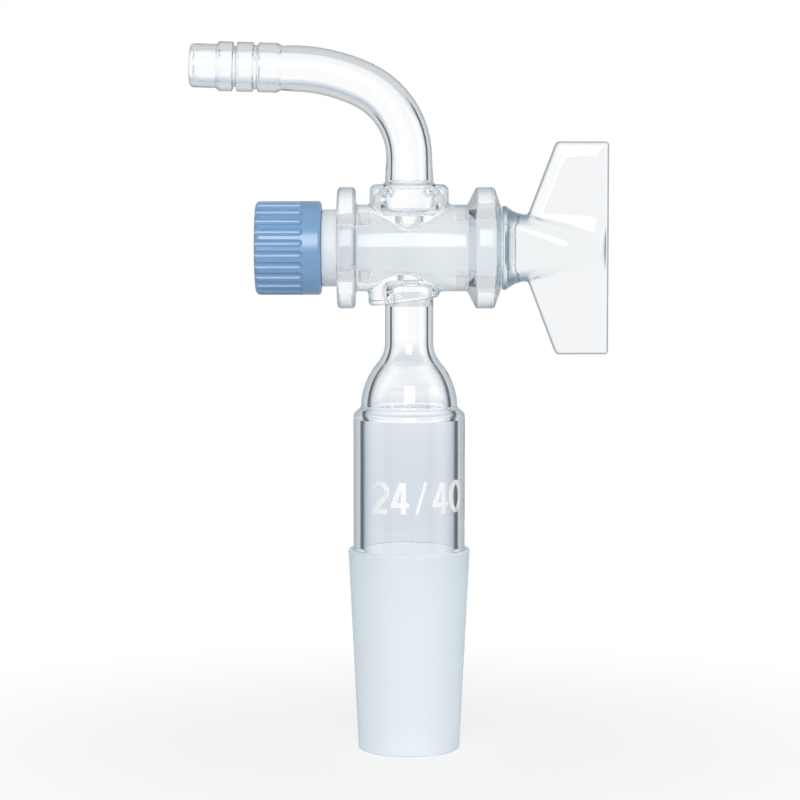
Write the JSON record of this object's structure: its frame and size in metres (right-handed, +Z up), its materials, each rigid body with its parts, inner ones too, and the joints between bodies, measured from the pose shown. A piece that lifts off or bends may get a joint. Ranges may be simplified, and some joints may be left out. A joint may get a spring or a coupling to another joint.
{
  "type": "glass stopcock",
  "caption": "Clear glass stopcock adapter: a tapered ground cone below, a bent hose tail above, and a winged glass plug across the barrel, held in its seat by a fluted nut.",
  "frame": {"origin": "centre of the ground cone's lower rim, which is the plane the part stands on", "axes": "+Z up the cone and stem, +X along the barrel towards the plug's handle, hose tail towards -X"},
  "size_m": [0.082, 0.024, 0.1397],
  "materials": {
    "body_glass": "clear, with a ground cone and bore",
    "plug_glass": "clear, with a ground taper",
    "white_fluoropolymer": "satin",
    "black_rubber": "matte",
    "blue_plastic": "satin moulded"
  },
  "bodies": {
    "glass": {"glass_body": "body_glass"},
    "plug": {"plug": "plug_glass", "washer": "white_fluoropolymer"},
    "seal": {"o_ring": "black_rubber"},
    "nut": {"retaining_nut": "blue_plastic"}
  },
  "joints": [
    {"name": "plug_turn", "type": "hinge", "parent": "glass", "child": "plug", "pos_m": [0, 0, 0.09935], "axis": [1, 0, 0], "continuous": true},
    {"name": "nut_travel", "type": "slide", "parent": "plug", "child": "seal", "axis": [-1, 0, 0], "range_m": [0, 0.0061]},
    {"name": "nut_turn", "type": "hinge", "parent": "seal", "child": "nut", "pos_m": [-0.0172, 0, 0.09935], "axis": [-1, 0, 0], "range_deg": [0, 1080]}
  ],
  "couplings": [
    {"joint": "nut_travel", "follows": "nut_turn", "m_per_rad": 0.00031831}
  ]
}
